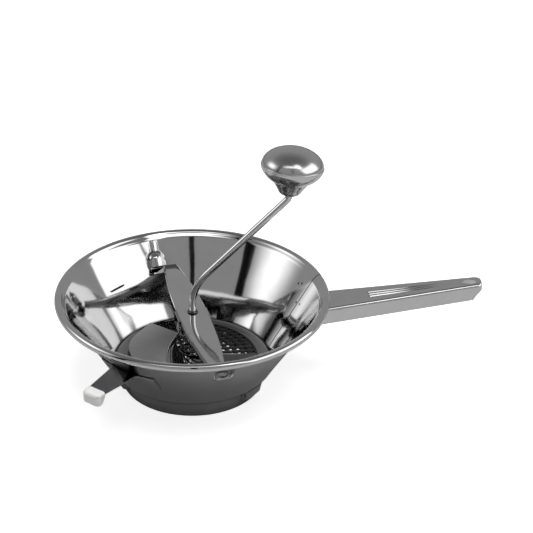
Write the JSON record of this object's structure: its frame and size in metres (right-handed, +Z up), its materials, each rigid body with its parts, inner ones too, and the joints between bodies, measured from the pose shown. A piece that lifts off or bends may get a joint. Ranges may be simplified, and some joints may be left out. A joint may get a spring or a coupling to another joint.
{
  "type": "food mill",
  "caption": "Rotary food mill: conical bowl with handle and pot rests, perforated disc, and a cranked blade sprung down under a crossbar.",
  "frame": {"origin": "on the bowl's axis, at the foot's resting edge", "axes": "+Z up along the bowl's axis, +X out along the handle"},
  "size_m": [0.38, 0.24, 0.2243],
  "materials": {
    "polished_steel": "mirror-polished stainless steel",
    "dark_steel": "dark phosphated spring steel",
    "white_plastic": "smooth white plastic"
  },
  "bodies": {
    "bowl": {"bowl_shell": "polished_steel", "handle": "polished_steel", "rest_front": "polished_steel", "rest_back": "polished_steel", "rest_cap_front": "white_plastic", "rest_cap_back": "white_plastic", "grinding_disc": "polished_steel", "disc_hub": "dark_steel"},
    "crossbar": {"crossbar": "polished_steel", "bearing_bracket": "polished_steel", "crossbar_bush": "dark_steel", "spring_washer": "polished_steel"},
    "lift": {"spring_seat": "polished_steel", "pressure_spring": "dark_steel"},
    "crank": {"crank_rod": "polished_steel", "retaining_ring": "dark_steel", "blade": "polished_steel", "blade_hub": "polished_steel", "blade_pin": "dark_steel", "knob_retainer": "dark_steel"},
    "knob": {"knob_dome": "polished_steel", "knob_base": "polished_steel", "knob_bush": "white_plastic"}
  },
  "joints": [
    {"name": "crossbar_turn", "type": "hinge", "parent": "bowl", "child": "crossbar", "pos_m": [0, 0, 0.067], "axis": [0, 0, 1], "range_deg": [-16, 0]},
    {"name": "blade_lift", "type": "slide", "parent": "crossbar", "child": "lift", "axis": [0, 0, 1], "range_m": [0, 0.004], "stiffness_N_per_m": 1500, "springref_m": -0.004, "deforming": ["pressure_spring"]},
    {"name": "crank_turn", "type": "hinge", "parent": "lift", "child": "crank", "pos_m": [0, 0, 0.06], "axis": [0, 0, 1], "continuous": true},
    {"name": "knob_turn", "type": "hinge", "parent": "crank", "child": "knob", "pos_m": [0.08133, -0.00822, 0.18179], "axis": [0.0976, 0.1046, 0.9897], "continuous": true}
  ]
}
